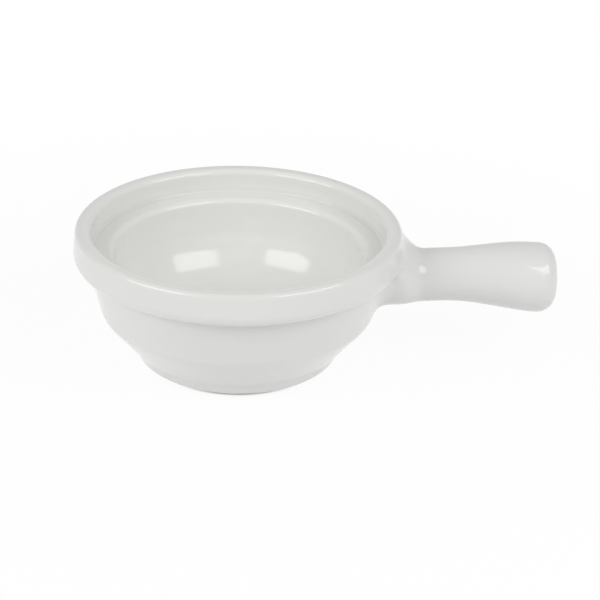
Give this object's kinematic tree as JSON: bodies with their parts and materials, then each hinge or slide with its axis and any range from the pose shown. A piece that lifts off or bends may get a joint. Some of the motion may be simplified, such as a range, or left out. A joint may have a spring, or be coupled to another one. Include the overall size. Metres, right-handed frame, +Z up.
{
  "type": "handled soup bowl",
  "caption": "Round glazed ceramic soup bowl with a thick stepped collar, an inner ledge, a turned foot ring and a hollow stick handle, for serving a single portion.",
  "frame": {"origin": "centre of the foot ring, on the plane that the bowl stands on", "axes": "+Z up along the bowl's axis, +X from that axis towards the end of the handle"},
  "size_m": [0.1814, 0.1232, 0.0544],
  "materials": {
    "bowl_clay": "matte",
    "handle_clay": "matte",
    "joining_slip": "matte",
    "white_glaze": "gloss"
  },
  "bodies": {
    "root": {"bowl_body": "bowl_clay", "handle": "handle_clay", "handle_slip": "joining_slip", "glaze": "white_glaze", "underside_glaze": "white_glaze"}
  },
  "joints": []
}
